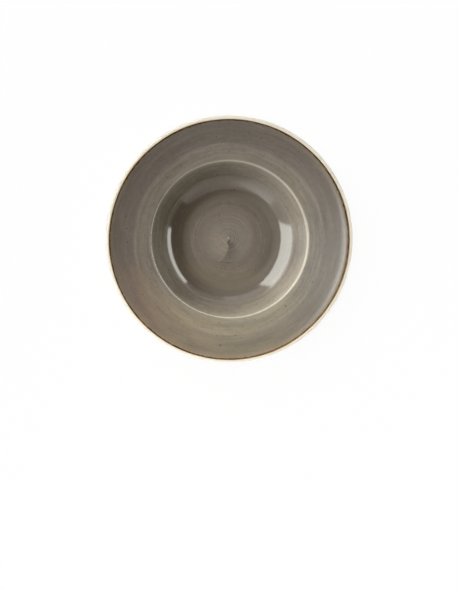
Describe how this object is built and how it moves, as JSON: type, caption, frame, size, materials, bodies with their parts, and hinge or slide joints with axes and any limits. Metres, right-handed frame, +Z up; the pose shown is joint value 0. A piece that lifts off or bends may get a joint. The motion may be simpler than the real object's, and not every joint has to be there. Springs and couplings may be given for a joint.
{
  "type": "pasta plate",
  "caption": "Round wide-rimmed stoneware pasta plate: a sunken well under a sloping rim, a rolled lip with a line round it and a low foot ring, glazed on face and back.",
  "frame": {"origin": "on the plate's axis, in the plane that the foot ring stands on", "axes": "+Z up along the plate's axis, towards the face; +X to the right and +Y away from the viewer in the picture's side view"},
  "size_m": [0.28, 0.28, 0.05],
  "materials": {
    "bare_clay": "dry, unglazed",
    "grey_glaze": "gloss",
    "brown_line": "gloss",
    "lip_cream": "gloss",
    "tan_line": "gloss",
    "back_cream": "gloss"
  },
  "bodies": {
    "root": {"stoneware_body": "bare_clay", "face_glaze": "grey_glaze", "upper_edge_line": "brown_line", "lip_glaze": "lip_cream", "lower_edge_line": "tan_line", "back_glaze": "back_cream", "recess_glaze": "back_cream"}
  },
  "joints": []
}
